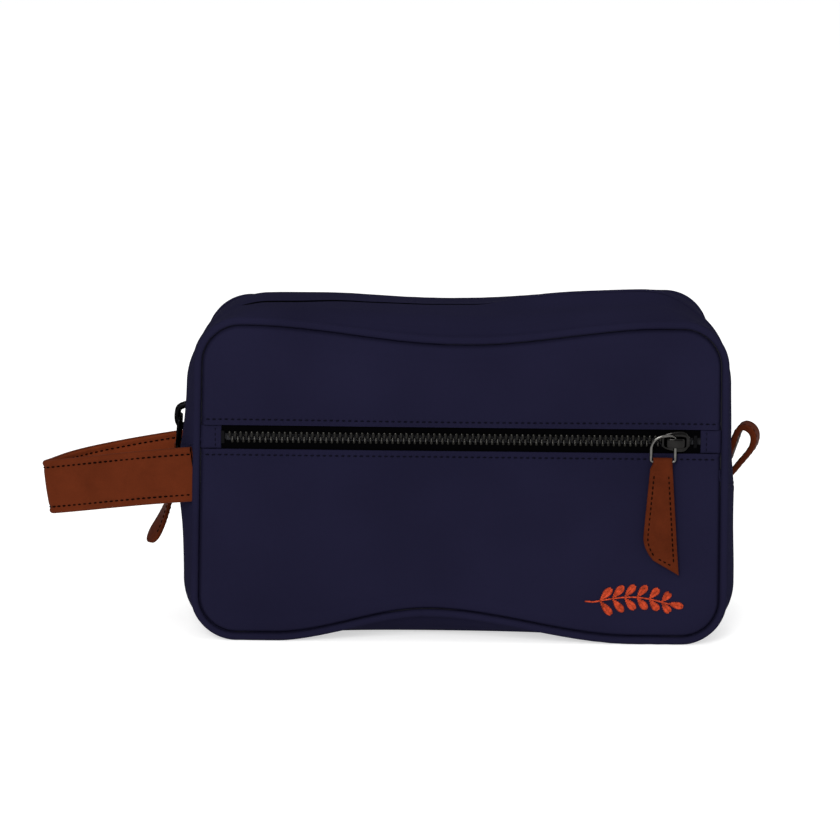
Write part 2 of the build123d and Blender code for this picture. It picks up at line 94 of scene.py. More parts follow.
def soft(value, power):
    """Squares off a sine or a cosine, for sections with rounded corners."""
    return np.sign(value) * np.abs(value) ** power


def circle(n):
    angle = np.linspace(0, 2 * math.pi, n, endpoint=False)
    return np.cos(angle), np.sin(angle)


def unit(vectors):
    return vectors / np.linalg.norm(vectors, axis=1)[:, None]


def turned(along):
    """Unit vectors a quarter turn to the left of flat ones."""
    along = unit(along)
    return np.stack([-along[:, 1], along[:, 0]], axis=1)


def run_along(points):
    """Distance from the first point to each one, along the line."""
    return np.concatenate([[0], np.cumsum(np.linalg.norm(np.diff(points, axis=0), axis=1))])


def xyz(x, y, z):
    """Points from coordinates, each of which may be one number, a row or a grid."""
    return np.stack(np.broadcast_arrays(x, y, z), axis=-1)


def sheet(u, v):
    """Flat coordinates for the weave, in the order of a grid's vertices."""
    return xyz(u, v, 0.0).reshape(-1, 3)


def ripples(points, wave, seed):
    """Smooth, repeatable unevenness of about unit height and the given wavelength."""
    rng = np.random.default_rng(seed)
    total = np.zeros(points.shape[:-1])
    for _ in range(9):
        direction = rng.normal(size=3)
        direction /= np.linalg.norm(direction)
        turn = 2 * math.pi / (wave * rng.uniform(0.6, 1.7))
        total += np.sin(points @ direction * turn + rng.uniform(0, 6.28))
    return total / 3.0


def grid_faces(rows, cols, wrap_rows=False, wrap_cols=False, flip=False):
    i = np.arange(rows if wrap_rows else rows - 1)[:, None]
    j = np.arange(cols if wrap_cols else cols - 1)[None, :]
    i2, j2 = (i + 1) % rows, (j + 1) % cols
    quads = np.stack([i * cols + j, i * cols + j2, i2 * cols + j2, i2 * cols + j], axis=-1).reshape(-1, 4)
    return (quads[:, ::-1] if flip else quads).tolist()


def capped_faces(rings, sides, inward=True):
    """Faces of rings joined into a tube, with a cap on each end."""
    first, last = list(range(sides)), [(rings - 1) * sides + k for k in range(sides)]
    caps = [first, last[::-1]] if inward else [first[::-1], last]
    return grid_faces(rings, sides, wrap_cols=True) + caps


def put(name, data):
    obj = bpy.data.objects.new(name, data)
    bpy.context.scene.collection.objects.link(obj)
    return obj


def add_piece(name, shape, material, body=None, replaces=(), cloth=None, thick=0.0):
    """One visible piece from its vertices and faces. cloth holds the weave's coordinates of each vertex."""
    verts, faces = shape
    mesh = bpy.data.meshes.new(name)
    mesh.from_pydata((np.asarray(verts, float).reshape(-1, 3) * MM).tolist(), [], faces)
    mesh.polygons.foreach_set("use_smooth", [True] * len(mesh.polygons))
    if cloth is not None:
        layer = mesh.attributes.new("cloth", "FLOAT_VECTOR", "POINT")
        layer.data.foreach_set("vector", (np.asarray(cloth) * MM).astype(np.float32).ravel())
    mesh.materials.append(material)
    obj = put(name, mesh)
    if thick:
        solid = obj.modifiers.new("thickness", "SOLIDIFY")
        solid.thickness = abs(thick) * MM
        solid.offset = -1.0 if thick > 0 else 1.0
    if replaces:
        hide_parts(*replaces)
    if body:
        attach(obj, body)
    return obj


def tube(points, radius, sides=8, closed=False, up=BACKWARD):
    """Rings of a tube along points, as vertices and faces. up is one direction, or one for each point."""
    points = np.asarray(points, float)
    if closed:
        tangents = np.roll(points, -1, axis=0) - np.roll(points, 1, axis=0)
    else:
        tangents = np.gradient(points, axis=0)
    tangents = unit(tangents)
    side = unit(np.cross(up, tangents))
    up = np.cross(tangents, side)
    c, s = circle(sides)
    radius = np.asarray(radius, float).reshape(-1, 1, 1)
    ring = side[:, None] * c[None, :, None] + up[:, None] * s[None, :, None]
    verts = (points[:, None] + ring * radius).reshape(-1, 3)
    if closed:
        return verts, grid_faces(len(points), sides, wrap_rows=True, wrap_cols=True)
    return verts, capped_faces(len(points), sides, inward=False)


def join_parts(parts):
    """Several (vertices, faces) as one."""
    verts, faces, start = [], [], 0
    for part_verts, part_faces in parts:
        verts.append(np.asarray(part_verts, float))
        faces += [[start + k for k in face] for face in part_faces]
        start += len(part_verts)
    return np.concatenate(verts), faces


def stitch(at, along, out, length, radius, lift):
    """One stitch's thread: a short bar that dives into the cloth at both ends."""
    t = np.linspace(-1, 1, 7)
    arc = 1 - np.abs(t) ** 3.0
    points = at + np.outer(t * length / 2, along) + np.outer(arc * (radius + lift) - radius, out)
    swell = radius * (0.72 + 0.28 * (1 - t**2))
    return tube(points, swell, up=out)


def stitch_row(points, normals, pitch, length=None, radius=0.27, lift=0.05):
    """Stitches at an even pitch along a line on a surface. normals is one direction, or one for each point."""
    points, normals = np.broadcast_arrays(points, normals)
    run = run_along(points)

    def between(values, where):
        return np.array([np.interp(where, run, values[:, c]) for c in range(3)])

    parts = []
    for where in (np.arange(int(run[-1] / pitch)) + 0.5) * pitch:
        along = between(points, where + 0.3) - between(points, where - 0.3)
        along /= np.linalg.norm(along)
        out = between(normals, where)
        out -= along * (out @ along)
        out /= np.linalg.norm(out)
        parts.append(stitch(between(points, where), along, out, length or 0.7 * pitch, radius, lift))
    return parts


def spline_points(knots, tangents, n):
    """A smooth cubic through flat knots, with given end directions."""
    knots = np.asarray(knots, float)
    slopes = np.gradient(knots, axis=0)
    size = [np.linalg.norm(knots[1] - knots[0]), np.linalg.norm(knots[-1] - knots[-2])]
    slopes[0] = np.array(tangents[0]) * size[0]
    slopes[-1] = np.array(tangents[1]) * size[1]
    out = []
    for k in range(len(knots) - 1):
        t = np.linspace(0, 1, n, endpoint=k == len(knots) - 2)[:, None]
        h = [2 * t**3 - 3 * t**2 + 1, t**3 - 2 * t**2 + t, -2 * t**3 + 3 * t**2, t**3 - t**2]
        out.append(h[0] * knots[k] + h[1] * slopes[k] + h[2] * knots[k + 1] + h[3] * slopes[k + 1])
    return np.concatenate(out)


def rounded_unit(around=12, along=7, square=0.45):
    """A unit cube with well rounded edges, as vertices and faces."""
    c, s = (soft(value, square) for value in circle(around))
    rise = np.radians(np.linspace(-86, 86, along))[:, None]
    wide, high = soft(np.cos(rise), square), soft(np.sin(rise), square)
    verts = np.stack([wide * c, wide * s, high + 0 * c], axis=-1).reshape(-1, 3)
    return verts, capped_faces(along, around, inward=False)


# ---- materials ----


class Tree:
    """A node tree, with a short way to add to it."""

    def __init__(self, tree):
        self.tree = tree

    def fill(self, node, values):
        """Links or sets a node's inputs."""
        for key, value in values.items():
            if isinstance(value, bpy.types.NodeSocket):
                self.tree.links.new(value, node.inputs[key])
            else:
                node.inputs[key].default_value = value

    def add(self, kind, output, values, **settings):
        node = self.tree.nodes.new(kind)
        for key, value in settings.items():
            setattr(node, key, value)
        self.fill(node, values)
        return node.outputs[output]


class Nodes(Tree):
    """A material's node tree, with short ways to add what the looks are made of."""

    def __init__(self, name, metallic=0.0, roughness=0.5, specular=0.5, sheen=0.0):
        self.material = bpy.data.materials.new(name)
        self.material.use_nodes = True
        super().__init__(self.material.node_tree)
        self.shader = self.tree.nodes["Principled BSDF"]
        self.fill(self.shader, {"Metallic": metallic, "Roughness": roughness, "Specular IOR Level": specular})
        self.fill(self.shader, {"IOR": 1.45 if metallic else 1.2, "Sheen Weight": sheen})

    def coords(self, attribute=None, scale=(1, 1, 1)):
        if attribute:
            source = self.add("ShaderNodeAttribute", "Vector", {}, attribute_name=attribute)
        else:
            source = self.add("ShaderNodeTexCoord", "Object", {})
        return self.add("ShaderNodeMapping", "Vector", {"Vector": source, "Scale": scale})

    def noise(self, vector, scale, detail=3.0, rough=0.55, distortion=0.0):
        values = {"Vector": vector, "Scale": scale, "Detail": detail, "Roughness": rough, "Distortion": distortion}
        return self.add("ShaderNodeTexNoise", "Fac", values)

    def wave(self, vector, scale, direction):
        values = {"Vector": vector, "Scale": scale, "Distortion": 0.25, "Detail Scale": 2.0}
        return self.add("ShaderNodeTexWave", "Fac", values, wave_type="BANDS", bands_direction=direction)

    def cells(self, vector, scale):
        values = {"Vector": vector, "Scale": scale}
        return self.add("ShaderNodeTexVoronoi", "Distance", values, feature="DISTANCE_TO_EDGE")

    def math(self, operation, *values):
        return self.add("ShaderNodeMath", "Value", dict(enumerate(values)), operation=operation)

    def ramp(self, factor, stops):
        color = self.add("ShaderNodeValToRGB", "Color", {"Fac": factor})
        for element, (position, shade) in zip(color.node.color_ramp.elements, stops):
            element.position = position
            element.color = (*shade, 1.0)
        return color

    def remap(self, factor, low, high):
        return self.add("ShaderNodeMapRange", "Result", {"Value": factor, "To Min": low, "To Max": high})

    def bump(self, height, strength, distance, before=None):
        values = {"Height": height, "Strength": strength, "Distance": distance}
        if before is not None:
            values["Normal"] = before
        return self.add("ShaderNodeBump", "Normal", values)

    def finish(self, color, roughness, normal):
        self.fill(self.shader, {"Base Color": color, "Roughness": roughness, "Normal": normal})
        return self.material


def shades(color, dark, light):
    """A ramp's two stops, darker and lighter than a color."""
    return [(0.3, tuple(c * dark for c in color)), (0.7, tuple(c * light for c in color))]


def woven(name, color, pitch, rough=(0.6, 0.75), specular=0.2, sheen=0.1, strength=0.3, attribute="cloth"):
    """A plain weave, with threads of uneven thickness and a slow drift in tone."""
    n = Nodes(name, roughness=rough[0], specular=specular, sheen=sheen)
    flat = n.coords(attribute)
    turns = 1.0 / (pitch * MM) / 3.14159
    weave = n.math("MULTIPLY", n.wave(flat, turns, "X"), n.wave(flat, turns, "Y"))
    drift = n.noise(n.coords(), 14.0, 2.0)
    slub = n.noise(flat, 900.0, 2.0)
    tone = n.math("MULTIPLY_ADD", weave, 0.25, n.math("MULTIPLY_ADD", drift, 0.75, 0.05))
    color_out = n.ramp(tone, shades(color, 0.86, 1.14))
    height = n.math("ADD", weave, n.math("MULTIPLY", slub, 0.7))
    normal = n.bump(height, strength, 0.00012)
    normal = n.bump(n.noise(n.coords(), 55.0, 4.0, 0.6), 0.12, 0.0012, normal)
    return n.finish(color_out, n.remap(n.noise(n.coords(), 60.0), *rough), normal)


def leather(name, color, dark=0.72, light=1.25, rough=(0.45, 0.62), specular=0.05):
    """Smooth calf leather: fine pebbled grain, faint creases and a mottled brown."""
    n = Nodes(name, roughness=rough[0], specular=specular)
    place = n.coords()
    mottle = n.noise(place, 75.0, 5.0, 0.62, 0.4)
    pores = n.cells(place, 1500.0)
    grain = n.noise(place, 900.0, 3.0, 0.6)
    tone = n.math("MULTIPLY_ADD", mottle, 0.85, n.math("MULTIPLY", grain, 0.16))
    color_out = n.ramp(tone, shades(color, dark, light))
    normal = n.bump(pores, 0.22, 0.00012)
    normal = n.bump(grain, 0.25, 0.0001, normal)
    normal = n.bump(n.noise(place, 160.0, 4.0), 0.15, 0.0004, normal)
    return n.finish(color_out, n.remap(mottle, *rough), normal)


def metal(name, color, rough=(0.18, 0.34), scratch=0.12):
    n = Nodes(name, metallic=1.0, roughness=rough[0])
    n.fill(n.shader, {"Specular Tint": (0.4, 0.4, 0.4, 1)})
    place = n.coords()
    smear = n.noise(place, 420.0, 3.0, 0.6)
    color_out = n.ramp(n.noise(place, 260.0, 2.0), shades(color, 0.8, 1.2))
    normal = n.bump(n.noise(n.coords(scale=(1, 4, 1)), 1400.0, 3.0), scratch, 0.00006)
    return n.finish(color_out, n.remap(smear, *rough), normal)


def thread(name, color, scale=3000.0, rough=(0.4, 0.6), specular=0.3, sheen=0.1, dark=0.75, light=1.2):
    n = Nodes(name, roughness=rough[0], specular=specular, sheen=sheen)
    place = n.coords()
    color_out = n.ramp(n.noise(place, 500.0, 2.0), shades(color, dark, light))
    normal = n.bump(n.wave(place, scale, "DIAGONAL"), 0.4, 0.00008)
    return n.finish(color_out, n.remap(n.noise(place, 800.0), *rough), normal)


NAVY = (0.0088, 0.0082, 0.0216)
BROWN = (0.077, 0.0148, 0.0048)
canvas = woven("navy_coated_canvas", NAVY, 0.55, rough=(0.8, 0.92), specular=0.02, sheen=0.0)
# Black tape cloth for the zip tapes; also laid on the hem faces of the zip gusset's lips as painted shade.
tape_and_painted_shade_cloth = woven(
    "black_zip_tape_and_painted_shade", (0.001, 0.001, 0.0013), 0.7, rough=(0.8, 0.9), specular=0.01, sheen=0.0, strength=0.6
)
lining_cloth = woven("lining_cloth", (0.045, 0.045, 0.05), 0.4, attribute=None)
binding_cloth = woven("binding_cloth", (0.012, 0.012, 0.015), 0.8, attribute=None)
cord_cloth = thread("piping_cord", (0.62, 0.6, 0.54), 1500.0)
brown = leather("chestnut_leather", BROWN, dark=0.84, light=1.12)
# A copy of the chestnut leather 1.85 times lighter, for the strap's inner face: painted light, brightening a face
# that lies in shade between the bands.
brown_inside_painted_light = leather("chestnut_leather_inside_painted_light", tuple(1.85 * c for c in BROWN), dark=0.84, light=1.12)
brown_small = leather("chestnut_leather_small_pieces", tuple(0.76 * c for c in BROWN))
teeth_metal = metal("gunmetal", (0.018, 0.0175, 0.016), rough=(0.18, 0.3))
slider_metal = metal("black_nickel", (0.016, 0.0155, 0.015), rough=(0.1, 0.2), scratch=0.06)
black_metal = metal("black_enamel", (0.0045, 0.0045, 0.005), rough=(0.2, 0.3), scratch=0.06)
wire_metal = metal("ring_wire", (0.11, 0.107, 0.1), rough=(0.03, 0.08), scratch=0.05)
navy_thread = thread("navy_thread", (0.0035, 0.0033, 0.0075), specular=0.03, sheen=0.0)
# Nearly black, so that the short stitches read as dark dots: partly the thread's own colour, partly painted shade
# of the stitch holes.
brown_thread_and_painted_hole_shade = thread("brown_thread_and_painted_hole_shade", (0.004, 0.0015, 0.0011), specular=0.02, sheen=0.0)
ORANGE = (0.42, 0.05, 0.018)
orange_thread = thread("orange_thread", ORANGE, 4200.0, (0.3, 0.45), 0.2, 0.0, dark=0.5, light=1.3)

# ---- outlines ----


def warp(x, z, dip, arch, bulge, tuck, lean):
    """Waists a rounded rectangle: its top edge dips, its bottom edge rises, and its ends taper and belly."""
    high, low = ease((z - 105) / 50), ease((52 - z) / 50)
    sag = np.where(x < 0, ease((x + 106) / 104), ease((100 - x) / 97))
    rise = np.where(x < -15, ease((x + 90) / 75), ease((84 - x) / 99))
    moved_z = z - dip * high * sag + arch * low * rise + high * np.interp(x, [-105, -55, 50, 105], lean)
    moved_x = x * (1 + 0.0116 * (1 - z / 80))
    belly = bulge * bell(z - 79, 25.0) * ease((-x - 60) / 70)
    belly = belly + tuck * ease((z - 70) / 30) * ease((x - 60) / 60)
    return moved_x - belly, moved_z


def rounded(half_w, lo, hi, r, rt, inset=0.0):
    """Samples of a rounded rectangle, clockwise from the foot of its left side."""
    half_w, lo, hi, r, rt = half_w - inset, lo + inset, hi - inset, r - inset, rt - inset
    cx, cxt, cl, ch = half_w - r, half_w - rt, lo + r, hi - rt
    sides = ((-half_w, cl, -half_w, ch), (-cxt, hi, cxt, hi), (half_w, ch, half_w, cl), (cx, lo, -cx, lo))
    corners = ((-cxt, ch, rt, 180), (cxt, ch, rt, 90), (cx, cl, r, 0), (-cx, cl, r, -90))
    parts = []
    for k, (side, (x, z, radius, start)) in enumerate(zip(sides, corners)):
        n, m = SEGMENTS[2 * k : 2 * k + 2]
        a = np.radians(start - 90.0 * np.arange(m) / m)
        parts.append(mix(side[:2], side[2:], np.arange(n) / n))
        parts.append(np.stack([x + radius * np.cos(a), z + radius * np.sin(a)], axis=1))
    return np.concatenate(parts)


def outline(shape, waist, inset=0.0):
    base = rounded(**shape, inset=inset)
    return np.stack(warp(base[:, 0], base[:, 1], **waist), axis=1)


def outward(points):
    """Unit normals in the outline's plane, pointing out of the bag."""
    return turned(np.roll(points, -1, axis=0) - np.roll(points, 1, axis=0))


def depth_inside(x, z, shape):
    """Distance in from the edge of a rounded rectangle."""
    cx, cz = shape["half_w"] - shape["r"], (shape["hi"] - shape["lo"]) / 2 - shape["r"]
    qx = np.abs(x) - cx
    qz = np.abs(z - (shape["hi"] + shape["lo"]) / 2) - cz
    far = np.hypot(np.maximum(qx, 0), np.maximum(qz, 0)) + np.minimum(np.maximum(qx, qz), 0)
    return shape["r"] - far


FRONT_SEAM, BACK_SEAM, BELT_LINE = outline(SEAM, FRONT), outline(SEAM, BACK), outline(BELT, MIDDLE)
BELT_OUT = outward(BELT_LINE)
BELT_RUN = run_along(BELT_LINE)

# ---- panels ----

PANEL_INSET = 1.75  # from the seam to the edge of a panel


def panel_surface(x, z, side):
    """Outer face of a panel at base coordinates: a slight crown, a roll into the piping's groove, soft hollows."""
    shape = {k: v - PANEL_INSET if k in ("half_w", "hi", "r") else v for k, v in SEAM.items()}
    shape["lo"] = SEAM["lo"] + PANEL_INSET
    d = depth_inside(x, z, shape)
    inner = ease(d / 45) * (1 - 0.75 * ease((np.abs(x) - 50) / 45))
    if side < 0:
        calm = 1 - bell(z - ZIP_Z, 17)
    else:
        calm = 1.0
    flat = xyz(x, 0.0, z)
    uneven = 0.5 * ripples(flat, 120.0, 5 + side) + 0.16 * ripples(flat, 38.0, 9 + side)
    out = 1.5 * inner * calm + uneven * ease(d / 14) * calm * 0.55
    out = out + 0.35 * bell(d - 5.5, 2.6) - 2.5 * bell(d, 1.25)
    waist = FRONT if side < 0 else BACK
    px, pz = warp(x, z, **waist)
    return xyz(px, side * (FACE_Y + out), pz)


def sewn(points, x, z, row_z, side):
    """Pulls the cloth in along a row of stitches."""
    away = z - row_z
    between_stitches = np.cos(2 * math.pi * x / CANVAS_PITCH)
    points[..., 1] -= side * (0.26 * bell(away, 0.55) + 0.16 * bell(away, 1.5) * between_stitches)
    return points


def panel(name, edge, z_from, rows, side, replaced, way=0, row_z=0.0):
    """A panel's cloth, from z_from to a stretch of the outline. Where way is 1 or -1 the cloth lies above or
    below z_from, and is hemmed there under a row of stitches at row_z."""
    t = (0.5 - 0.5 * np.cos(math.pi * np.linspace(0, 1, rows)))[:, None]
    x = np.broadcast_to(edge[:, 0], (rows, len(edge)))
    z = z_from + (edge[:, 1] - z_from) * t
    points = panel_surface(x, z, side)
    if way:
        points = sewn(points, x, z, row_z, side)
        folds = []
        for dz, dy in ((0.75, 1.5), (0.1, 1.15), (-0.12, 0.7), (-0.06, 0.25)):
            folds.append(points[:1] - np.array([0, side * dy, -way * dz]))
        points = np.concatenate(folds + [points])
        x = np.concatenate([x[:4], x])
        z = np.concatenate([np.repeat(z[:1], 4, axis=0), z])
    faces = grid_faces(len(points), len(edge), flip=side > 0 or way < 0)
    add_piece(name, (points, faces), canvas, "bag", [replaced], sheet(x, z), thick=0.9)


def panels():
    base = rounded(**SEAM, inset=PANEL_INSET)
    top, under = base[TOP_FIRST : TOP_LAST + 1], base[sum(SEGMENTS[:5]) :][::-1]
    bottom = np.concatenate([base[:1], under])
    panel("front_panel_upper", top, upper_edge, 80, -1, "front_upper_panel", 1, upper_row)
    panel("front_panel_lower", bottom, lower_edge, 110, -1, "front_lower_panel", -1, lower_row)
    low = np.interp(top[:, 0], under[:, 0], under[:, 1])
    low[[0, -1]] = SEAM["lo"] + SEAM["r"]
    panel("back_panel_cloth", top, low, 150, 1, "back_panel")


upper_edge, lower_edge = ZIP_Z + WINDOW_H, ZIP_Z - WINDOW_H
upper_row, lower_row = upper_edge + STITCH_ROW, lower_edge - STITCH_ROW
panels()


def zip_tabs():
    """The folded scrap of canvas over each end of the zip. Yields its stitches."""
    rows, long, row_at = 26, 10.0, 2.5
    for side, name in ((-1, "left"), (1, "right")):
        across = np.concatenate([[0.8, 0.2, -0.1, 0.0], np.linspace(0.25, long, rows)])
        drop = np.concatenate([[1.4, 1.15, 0.7, 0.3], np.zeros(rows)])
        up = np.linspace(lower_edge + 0.15, upper_edge - 0.15, rows)
        x, z = np.meshgrid(side * (WINDOW_L + across), up, indexing="ij")
        ends = 0.4 * bell(np.minimum(z - up[0], up[-1] - z), 0.5)
        row = bell(across - row_at, 0.5)[:, None] * (0.2 + 0.08 * np.cos(2 * math.pi * z / TAB_PITCH))
        groove = 0.9 * bell(long - across, 0.9)[:, None]
        px, pz = warp(x, z, **FRONT)
        points = xyz(px, -(FACE_Y - 0.3) + drop[:, None] + ends + groove + row, pz)
        faces = grid_faces(len(across), len(up), flip=side > 0)
        replaced, cloth = [f"zip_end_tab_{name}"], sheet(z, x)
        add_piece(f"zip_tab_{name}", (points, faces), canvas, "bag", replaced, cloth, thick=0.7)
        line = xyz(side * (WINDOW_L + row_at), -(FACE_Y - 0.48), np.linspace(97.2, 107.8, 12))
        yield from stitch_row(line, FORWARD, TAB_PITCH, radius=0.22)


def front_stitches():
    """The stitches of both tabs and of the rows above and below the zip's window."""
    parts = list(zip_tabs())
    half, sunk = 125.2, 0.22
    for row_z in (upper_row, lower_row):
        x = np.linspace(-half, half, 400)
        line = panel_surface(x, np.full_like(x, row_z), -1)
        line[:, 1] += sunk
        parts += stitch_row(line, FORWARD, CANVAS_PITCH, length=1.9, radius=0.34, lift=0.04)
    add_piece("pocket_zip_stitches", join_parts(parts), navy_thread, "bag")


front_stitches()

# ---- piping ----


def piping(name, seam, side):
    """Canvas sewn round a cord, with a join where its two ends meet under the bag."""
    points = xyz(seam[:, 0], side * PIPE_Y, seam[:, 1])
    sides = 20
    radius = PIPE_R + 0.05 * ripples(points, 24.0, 3) + 0.03 * ripples(points, 7.0, 4)
    for join_x in (-18.5, 16.5):
        at_join = (points[:, 2] < 60) & (np.abs(points[:, 0] - join_x) < 1.4)
        radius = radius - at_join * 0.35 * bell(points[:, 0] - join_x, 0.5)
    cover = tube(points, radius, sides, closed=True)
    around = np.linspace(0, 2 * math.pi * PIPE_R, sides, endpoint=False)
    on_the_bias = np.array([[0.7, 0.7, 0], [-0.7, 0.7, 0], [0, 0, 1]])
    cloth = sheet(run_along(points)[:, None], around) @ on_the_bias
    add_piece(f"piping_{name}_cloth", cover, canvas, "bag", [f"piping_{name}"], cloth)
    core = tube(points, CORD_R, closed=True)
    add_piece(f"piping_{name}_core", core, cord_cloth, "bag", [f"piping_cord_{name}"])


piping("front", FRONT_SEAM, -1)
piping("back", BACK_SEAM, 1)

# ---- gusset ----


def gusset_points(index, y):
    """Points of the gusset's outer face for a column of outline samples and a row, or a grid, of depths y."""
    past = np.clip((np.abs(y) - BELT_FLAT) / (GUSSET_EDGE - BELT_FLAT), 0, 1)
    belt = (1 - past**2)[..., None]
    seam = np.where((y < 0)[..., None], FRONT_SEAM[index], BACK_SEAM[index])
    flat = seam * (1 - belt) + BELT_LINE[index] * belt
    tuck = -1.5 * bell(GUSSET_EDGE - np.abs(y), 1.3)
    tuck += 0.35 * bell(GUSSET_EDGE - np.abs(y) - 4.0, 2.0)
    x, z = flat[..., 0], flat[..., 1]
    spots = xyz(x, y, z)
    uneven = 0.45 * ripples(spots, 85.0, 21) + 0.14 * ripples(spots, 30.0, 22)
    uneven *= ease((GUSSET_EDGE - np.abs(y)) / 12) * ease((z - 1.0) / 14)
    crown = (1.3 * ease((x + 60) / 60) + 2.9 * ease((x - 5) / 40)) * ease((120 - x) / 30)
    crown = crown * ease((z - 140) / 12) * bell(y + 2, 12)
    lift = tuck + 0.6 * uneven + crown
    moved = flat + BELT_OUT[index] * lift[..., None]
    return xyz(moved[..., 0], y, np.maximum(moved[..., 1], 0.02))


def push_out(points, index, lift):
    """Moves rows of points along the belt's normals."""
    points[..., 0] += BELT_OUT[index, 0][:, None] * lift
    points[..., 2] += BELT_OUT[index, 1][:, None] * lift


def join_index(z, right):
    """The outline sample at a height on the left or the right end."""
    half = BELT_LINE[:, 0] > 0 if right else BELT_LINE[:, 0] < 0
    return int(np.argmin(np.where(half, np.abs(BELT_LINE[:, 1] - z), 1e9)))


# where the zip gusset meets the bottom one at each end
LEFT_JOIN, RIGHT_JOIN = join_index(92.0, False), join_index(76.0, True)


def bottom_gusset():
    total = len(BELT_LINE)
    index = np.arange(RIGHT_JOIN - 6, LEFT_JOIN + total + 7) % total
    hidden = GUSSET_EDGE + UNDER_PIPING
    y = np.concatenate([[-hidden], np.linspace(-GUSSET_EDGE, GUSSET_EDGE, 91), [hidden]])
    points = gusset_points(index[:, None], y)
    order = np.arange(len(index))
    for end in (6, len(index) - 7):
        fold = 0.45 * bell(order - end, 2.2) - 0.5 * bell(order - end, 0.9)
        push_out(points, index, fold[:, None])
    tucked = (order < 5) | (order > len(index) - 6)
    points[tucked, :, 0] -= BELT_OUT[index[tucked], 0][:, None] * 1.4
    cloth = sheet(BELT_RUN[index][:, None], y)
    faces = grid_faces(len(index), len(y))
    replaced = ["bottom_gusset"]
    add_piece("gusset_bottom_cloth", (points, faces), canvas, "bag", replaced, cloth, thick=-0.9)


def lip_gap(index):
    """Half width of the gap between the lips: a slot where the slider runs, a hairline further along the top."""
    x, z = BELT_LINE[index].T
    along_top = 2.4 - 1.45 * ease((x + 88) / 45) - 0.6 * ease((x + 45) / 70)
    slot = 6.4 * (1 - ease((z - 126) / 22)) * (x < 0)
    return np.maximum(along_top, slot)


def zip_gusset(name, side, replaced):
    index = np.arange(LEFT_JOIN, RIGHT_JOIN + 1)
    gap = lip_gap(index)
    v = 1 - (1 - np.linspace(0, 1, 60)) ** 1.5
    y = side * (GUSSET_EDGE - v[None, :] * (GUSSET_EDGE - gap[:, None]))
    y = np.concatenate([np.full((len(index), 1), side * (GUSSET_EDGE + UNDER_PIPING)), y], axis=1)
    points = gusset_points(index[:, None], y)
    near = np.abs(y) - gap[:, None]
    x, z = BELT_LINE[index].T
    if side > 0:
        lip = 0.25 - 0.85 * ease((-60 - x) / 25) - 0.15 * ease((x - 5) / 30)
    else:
        lip = -0.1 - 0.7 * ease((-60 - x) / 25) + 1.2 * ease((x - 5) / 35)
        lip = lip + 1.3 * ease((z - 128) / 14) * ease((-104 - x) / 10)
    puff = lip[:, None] * bell(near, 4.0) - 0.2 * bell(near, 0.5)
    push_out(points, index, puff)
    hem = [points]
    for shift_y, down in ((0.0, 0.5), (0.15, 0.95), (0.8, 1.25), (4.0, 1.35)):
        fold = points[:, -1:] + np.array([0, side * shift_y, 0])
        push_out(fold, index, -down)
        hem.append(fold)
    points = np.concatenate(hem, axis=1)
    cols = points.shape[1]
    cloth = sheet(BELT_RUN[index][:, None], points[..., 1])
    faces = grid_faces(len(index), cols, flip=side > 0)
    # The hem's last faces, folded down into the gap between the lips, take the black tape cloth: painted shade on
    # the navy canvas, for a dark line along the gap.
    under = [int(face[0] % cols >= cols - 5) for face in faces]
    strip = add_piece(name, (points, faces), canvas, "bag", [replaced], cloth, thick=-0.8)
    strip.data.materials.append(tape_and_painted_shade_cloth)
    strip.data.polygons.foreach_set("material_index", under)


def gusset_lining():
    """One thin sheet that follows the gusset inside, open along the zip."""
    index = np.arange(len(BELT_LINE))
    half = np.linspace(14.4, 42.8, 12)
    y = np.concatenate([-half[::-1], half])
    points = gusset_points(index[:, None], y)
    push_out(points, index, -LINING_DROP)
    faces = []
    for face in grid_faces(len(index), len(y), wrap_rows=True):
        row, col = divmod(face[0], len(y))
        if col != len(half) - 1 or not LEFT_JOIN <= row <= RIGHT_JOIN:
            faces.append(face)
    replaced = ["lining_gusset_bottom", "lining_gusset_front", "lining_gusset_back"]
    add_piece("gusset_lining_cloth", (points, faces), lining_cloth, "bag", replaced, thick=-0.3)


def main_tape(name, side):
    """A zip tape that follows the belt under one lip."""
    index = np.arange(LEFT_JOIN, RIGHT_JOIN + 1)
    from_middle = np.linspace(1.7, 14.0, 7)
    flat = BELT_LINE[index] - BELT_OUT[index] * CHAIN_DEPTH
    points = xyz(flat[:, :1], side * from_middle, flat[:, 1:])
    faces = grid_faces(len(index), len(from_middle), flip=side > 0)
    replaced = [f"main_zip_tape_{name}"]
    add_piece(f"main_tape_{name}", (points, faces), tape_and_painted_shade_cloth, "bag", replaced, thick=-0.6)


def back_lining():
    """The lining sheet and the seam's binding behind the back panel, both following its lean."""
    lining_y, ring, middle = 42.4, outline(SEAM, BACK, inset=5.5), np.array([0.0, 80.0])
    shrink = np.linspace(1, 0.05, 12)[:, None, None]
    flat = middle + (ring - middle)[None] * shrink
    points = xyz(flat[..., 0], lining_y, flat[..., 1])
    faces = grid_faces(len(shrink), len(ring), wrap_cols=True)
    faces.append([(len(shrink) - 1) * len(ring) + k for k in range(len(ring))])
    add_piece("lining_back_cloth", (points, faces), lining_cloth, "bag", ["lining_back"])
    points = []  # the four edges of the binding's section
    for inset, y in ((3.4, 43.4), (4.2, 43.4), (4.2, 45.0), (3.4, 45.0)):
        edge = outline(SEAM, BACK, inset=inset)
        points.append(xyz(edge[:, 0], y, edge[:, 1]))
    faces = grid_faces(len(ring), len(points), wrap_rows=True, wrap_cols=True)
    replaced = ["seam_binding_back"]
    points = np.stack(points, axis=1)
    add_piece("seam_binding_back_tape", (points, faces), binding_cloth, "bag", replaced)


